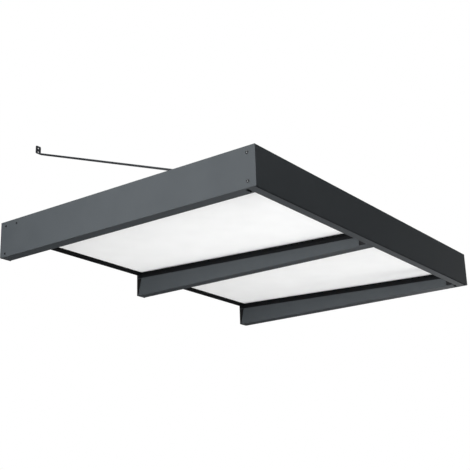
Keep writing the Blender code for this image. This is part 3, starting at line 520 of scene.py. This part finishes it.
# %% The plane of the glass
PANE_ANGLE = math.radians(2.15)
PANE_LEVEL = 27.0 * MM
PANE_THICKNESS = 4.0 * MM


def on_plane(points):
    """Tilt points about X and lift them: y' = y cos a - z sin a, z' = y sin a + z cos a + level."""
    x, y, z = np.moveaxis(np.asarray(points, float), -1, 0)
    cos, sin = math.cos(PANE_ANGLE), math.sin(PANE_ANGLE)
    return np.stack([x, y * cos - z * sin, y * sin + z * cos + PANE_LEVEL], axis=-1)


def along_plane(node):
    """Where a node starts and ends: its y at both ends divided by the cosine of the slope."""
    low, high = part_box(node)
    return high[1] / math.cos(PANE_ANGLE), low[1] / math.cos(PANE_ANGLE)


fall = -cad_low[1] * math.tan(PANE_ANGLE)
print("fall over the canopy's depth, mm:", round(fall / MM))

# %% Panes with rounded edges
CORNER_STEPS = 5
PANE_CORNER = 4 * MM
# The lower edge, row by row: how far it is drawn in, and its height. The upper edge mirrors it.
PANE_EDGE = np.array([(2.5, 0), (0.8, 0), (0.4, 0.12), (0.12, 0.4), (0, 0.8)]) * MM


def pane(node):
    """A slab as a stack of rounded rectangles, drawn in where the edges are rounded.

    Around a rectangle, a point is a corner's centre plus (cos t, sin t) times the corner radius
    less the row's inset, with the centre picked by the quarter that t lies in. The first and last
    rows are drawn in further, so that the two broad faces stay flat up to their rims.
    """
    low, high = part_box(node)
    start, end = along_plane(node)
    quarters = [np.linspace(quarter, quarter + 1, CORNER_STEPS) for quarter in range(4)]
    t = np.concatenate(quarters) * math.pi / 2
    at_right = np.repeat([1, 0, 0, 1], CORNER_STEPS)
    at_wall = np.repeat([1, 1, 0, 0], CORNER_STEPS)
    centre_x = np.where(at_right, high[0] - PANE_CORNER, low[0] + PANE_CORNER)
    centre_y = np.where(at_wall, start - PANE_CORNER, end + PANE_CORNER)
    inset = np.concatenate([PANE_EDGE[:, 0], PANE_EDGE[::-1, 0]])[:, None]
    rise = np.concatenate([PANE_EDGE[:, 1], PANE_THICKNESS - PANE_EDGE[::-1, 1]])[:, None]
    reach = PANE_CORNER - inset
    x = centre_x + reach * np.cos(t)
    y = centre_y + reach * np.sin(t)
    return on_plane(np.stack([x, y, rise * np.ones(t.shape)], axis=-1))


for side in ("left", "right"):
    node = "pane_" + side
    add_piece(node + "_cast", pane(node), opal, [node])

# %% [markdown]
# ## Rubber under and over the panes
# On the CAD model the seats and seals are plain strips. Real ones are extruded with a soft lip
# that leans out over the edge of the metal and touches the pane, so that no water stands in the
# gap. Each strip here is such a section, drawn in a plane and carried along a straight line. A
# seat lies under the pane and a seal over it, and both keep 0.1 mm off it, as meshes that touch
# would flicker.

# %% Sections carried along a line
def carried(section, start, end, across_axis=0):
    """Two rows of one section, a list of (across, above): one at start and one at end.

    across_axis 0 draws the section in x and carries it along y; 1 draws it in y and carries it
    along x.
    """
    across, above = np.array(section).T
    rows = np.empty((2, len(section), 3))
    rows[..., across_axis] = across
    rows[..., 1 - across_axis] = np.array([[start], [end]])
    rows[..., 2] = above
    return rows


def lipped_strip(inner, way, base, roof, lip, width=8.0):
    """Section of a strip: a grooved foot at base, and at roof a lip that leans outwards.

    A point (a, b) of the outline goes a millimetres from the edge inner along way, which is +1 or
    -1 into the bay, and the share b of the height from base to roof. The lip's reach and the
    width are millimetres too. Where the strip lies over the pane, base is above roof.
    """
    up = 1 if roof > base else -1
    tall = abs(roof - base)
    heel = width - 2.0
    foot = [(-width, 0), (0.6 - heel, 0), (0.9 - heel, 0.25), (1.5 - heel, 0.25), (1.8 - heel, 0),
            (-2.3, 0), (-2.0, 0.25), (-1.4, 0.25), (-1.1, 0), (-0.5, 0)]
    top = [(-0.1, 0.12), (0.3, 0.5), (lip, 0.86), (lip + 0.12, 0.95), (lip, 1.0), (-0.6, 0.93),
           (-1.6, 0.9), (-2.6, 0.96), (-3.2, 1.0), (0.3 - width, 1.0), (-width, 0.9)]
    return [(inner + way * a * MM, base + up * b * tall) for a, b in foot + top]


print("points in a strip's section:", len(lipped_strip(0, 1, 0, MM, 1.0)))

# %% The strips along the ribs
SEAT = {"base": -2.7 * MM, "roof": -0.1 * MM, "lip": 1.3}
SEAL = {"base": 6.7 * MM, "roof": 4.1 * MM, "lip": 1.8}
SIDES = (("left_outer", 1), ("left_inner", -1), ("right_inner", 1), ("right_outer", -1))
for name, way in SIDES:
    for stem, levels in (("pane_seat_", SEAT), ("clamp_seal_", SEAL)):
        node = stem + name
        low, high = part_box(node)
        start, end = along_plane(node)
        inner = high[0] if way > 0 else low[0]
        strip = carried(lipped_strip(inner, way, **levels), start, end)
        add_piece(node + "_lipped", on_plane(strip), rubber, [node])

# %% The strips along the wall rail and the gutter
FRONT_SEAT = {**SEAT, "base": -4.45 * MM}
for side in ("left", "right"):
    for stem, way, width, levels in (("wall_seat_", -1, 16.0, SEAT), ("wall_seal_", -1, 8.0, SEAL),
                                     ("front_seat_", 1, 6.0, FRONT_SEAT)):
        node = stem + side
        low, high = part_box(node)
        start, end = along_plane(node)
        section = lipped_strip(end if way < 0 else start, way, width=width, **levels)
        strip = carried(section, low[0], high[0], across_axis=1)
        add_piece(node + "_lipped", on_plane(strip), rubber, [node])

# %% [markdown]
# ## Rivet heads
# Blind rivets hold the support rails and the clamp angles to the beams: three in each. On the CAD
# model they are faceted, in one piece with their rail. A turned dome over each, with the pit that
# the broken mandrel leaves in its middle, makes them round. All domes of one finish are one piece.

# %% Domes over the rivets
RIVET_COLUMNS = 28
RIVET_FROM_END = 150 * MM
RAIL_RIVET_LEVEL = -12 * MM
CLAMP_RIVET_LEVEL = 15.5 * MM
ANGLE_WALL = 2 * MM
RIVET_OUTLINE = np.array([(3.6, -0.3), (4.15, -0.2), (4.25, 0.0), (4.15, 0.35), (3.8, 0.8),
                          (3.1, 1.25), (2.2, 1.6), (1.3, 1.75), (1.05, 1.7), (0.95, 1.3),
                          (0.3, 1.2)]) * MM


def rivet_domes(stem, level):
    """Domes along four angles, an array of pieces: the outline turned about X at each place.

    With radius and height from the outline, a point is (face + height, along + radius cos t,
    level + radius sin t), where the height counts away from the angle's upright leg.
    """
    t = around(RIVET_COLUMNS)
    radius = RIVET_OUTLINE[:, :1] * np.ones(RIVET_COLUMNS)
    height = RIVET_OUTLINE[:, 1:2] * np.ones(RIVET_COLUMNS)
    domes = []
    for name, way in SIDES:
        low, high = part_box(stem + name)
        start, end = along_plane(stem + name)
        x = (low[0] if way > 0 else high[0]) + way * (ANGLE_WALL + height)
        for along in (start - RIVET_FROM_END, (start + end) / 2, end + RIVET_FROM_END):
            y = along + radius * np.cos(t)
            domes.append(np.stack([x, y, level + radius * np.sin(t)], axis=-1))
    return on_plane(np.stack(domes))


add_piece("rail_rivet_heads", rivet_domes("support_rail_", RAIL_RIVET_LEVEL), black_coat)
add_piece("clamp_rivet_heads", rivet_domes("clamp_angle_", CLAMP_RIVET_LEVEL), anthracite)

# %% [markdown]
# ## Floor, light and camera
# The canopy hangs 2.2 m above a pale floor, under a plain white world of strength 1, at which a
# colour comes out about as it is written. Two lamps from the left light the side plate and the
# ribs, and a broad one from above makes the panes glow. A photographer darkens one side of an
# object with a card beside the picture, and so does this lesson: a black card in front keeps the
# front face dark, and a grey one stands where the wall would be. The camera stands below the
# canopy and to its left, and a small shift of its lens frames the picture.

# %% Flat sheets for the stage
SQUARE = ((-1, -1), (1, -1), (1, 1), (-1, 1))


def flat_sheet(name, corners, finish):
    """One flat face through four corners, as an object of its own."""
    mesh = bpy.data.meshes.new(name)
    mesh.from_pydata([tuple(corner) for corner in corners], [], [(0, 1, 2, 3)])
    mesh.materials.append(finish)
    sheet = bpy.data.objects.new(name, mesh)
    bpy.context.scene.collection.objects.link(sheet)
    return sheet


# %% Floor
FLOOR_LEVEL = -2.2
FLOOR_HALF = 15.0
FLOOR_WHITE = 0.85


def seen_directly(tree):
    """1 for a ray from the camera, a reflection or clear material, and 0 for all others."""
    path = add_node(tree, "ShaderNodeLightPath").outputs
    seen = path["Is Camera Ray"]
    for kind in ("Is Glossy Ray", "Is Transmission Ray"):
        seen = add_node(tree, "ShaderNodeMath", {"operation": "MAXIMUM"},
                        links={0: seen, 1: path[kind]}).outputs[0]
    return seen


def pale_floor():
    """Matt paint that looks nearly white: what is seen directly is mostly white, the rest shaded."""
    made, tree, shader, place = start_finish("pale_matt_floor", 0.9)
    tone = tint(tree, grain(tree, place, 700 * MM), "E2E3E4", "E8E9EA")
    tree.links.new(tone, shader.inputs["Base Color"])
    glow = add_node(tree, "ShaderNodeEmission", inputs={"Color": (1, 1, 1, 1), "Strength": 1.0})
    share = add_node(tree, "ShaderNodeMath", {"operation": "MULTIPLY"}, {1: FLOOR_WHITE},
                     {0: seen_directly(tree)})
    mix = add_node(tree, "ShaderNodeMixShader",
                   links={0: share.outputs[0], 1: shader.outputs[0], 2: glow.outputs[0]})
    tree.links.new(mix.outputs[0], tree.nodes["Material Output"].inputs["Surface"])
    return made


floor = flat_sheet("floor", [(a * FLOOR_HALF, b * FLOOR_HALF, FLOOR_LEVEL) for a, b in SQUARE],
                   pale_floor())
floor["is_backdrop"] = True
print("floor at", FLOOR_LEVEL, "m")

# %% World
world = bpy.data.worlds.new("white_studio")
bpy.context.scene.world = world
world.use_nodes = True
background = world.node_tree.nodes["Background"]
background.inputs["Color"].default_value = (1, 1, 1, 1)
background.inputs["Strength"].default_value = 1.0
print("world strength:", background.inputs["Strength"].default_value)

# %% Lamps
def add_lamp(name, place, target, size, watts, spread):
    """A rectangular soft lamp at place that faces target, with its spread in degrees."""
    data = bpy.data.lights.new(name, "AREA")
    data.shape = "RECTANGLE"
    data.size, data.size_y = size
    data.energy = watts
    data.spread = math.radians(spread)
    lamp = bpy.data.objects.new(name, data)
    lamp.location = place
    lamp.rotation_euler = (Vector(target) - Vector(place)).to_track_quat("-Z", "Y").to_euler()
    bpy.context.scene.collection.objects.link(lamp)


add_lamp("key_from_the_left", (-4.6, -0.9, 2.0), (-0.4, -0.6, 0),
         size=(1.6, 1.6), watts=7.9, spread=60)
add_lamp("low_fill_from_the_left", (-5.0, -0.5, -0.9), (0, -0.6, 0),
         size=(2.0, 1.6), watts=29.9, spread=60)
add_lamp("sky_from_above", (0.9, -0.9, 2.6), (0.3, -0.7, 0),
         size=(4.4, 3.6), watts=45.4, spread=120)

# %% Cards
def add_card(name, place, target, width, height, colour):
    """A matt screen that faces target and is unseen by the camera.

    A corner is place plus half the width and half the height along the screen's turned axes.
    """
    turn = (Vector(target) - Vector(place)).to_track_quat("Z", "Y").to_matrix()
    corners = [turn @ Vector((a * width / 2, b * height / 2, 0)) + Vector(place)
               for a, b in SQUARE]
    paper = start_finish(name, 1.0, values={"Base Color": linear(colour),
                                            "Specular IOR Level": 0.0})[0]
    card = flat_sheet(name, corners, paper)
    card.visible_camera = False
    card.visible_shadow = False
    card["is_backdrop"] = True


add_card("black_card_in_front", (0.8, -3.4, 0.9), (0, -1.1, 0),
         width=7.5, height=5.0, colour="050505")
add_card("grey_card_for_the_wall", (1.0, 0.35, -0.1), (1.0, 0, -0.1),
         width=5.0, height=2.4, colour="606060")

# %% Camera
AZIMUTH, ELEVATION, ROLL = map(math.radians, (-52.89, -17.914, -1.3233))
CAMERA_PLACE = (-2.8665, -2.5347, -1.0368)
FOCAL_PIXELS = 951.0
SHIFT_PIXELS = 25
IMAGE_PIXELS = 470
SENSOR = 36.0
level_share = math.cos(ELEVATION)
back = Vector((math.sin(AZIMUTH) * level_share, -math.cos(AZIMUTH) * level_share,
               math.sin(ELEVATION)))
level = Vector((0, 0, 1)).cross(back).normalized()
upright = back.cross(level)
right = level * math.cos(ROLL) + upright * math.sin(ROLL)
up = upright * math.cos(ROLL) - level * math.sin(ROLL)
turn = Matrix((right, up, back)).transposed().to_4x4()
lens = bpy.data.cameras.new("camera")
lens.sensor_width = SENSOR
lens.lens = FOCAL_PIXELS / IMAGE_PIXELS * SENSOR
lens.shift_x = SHIFT_PIXELS / IMAGE_PIXELS
camera = bpy.data.objects.new("camera", lens)
camera.matrix_world = Matrix.Translation(CAMERA_PLACE) @ turn
bpy.context.scene.collection.objects.link(camera)
bpy.context.scene.camera = camera
bpy.context.scene.view_settings.view_transform = "Standard"
print("lens:", round(lens.lens, 1), "mm")

# %% [markdown]
# The dressed canopy's box is printed, to set beside the CAD model's box printed at the start.

# %% Print the visual box
low, high = [list(corner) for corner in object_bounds()]
print("visual box, mm:", [round((b - a) / MM) for a, b in zip(low, high)])
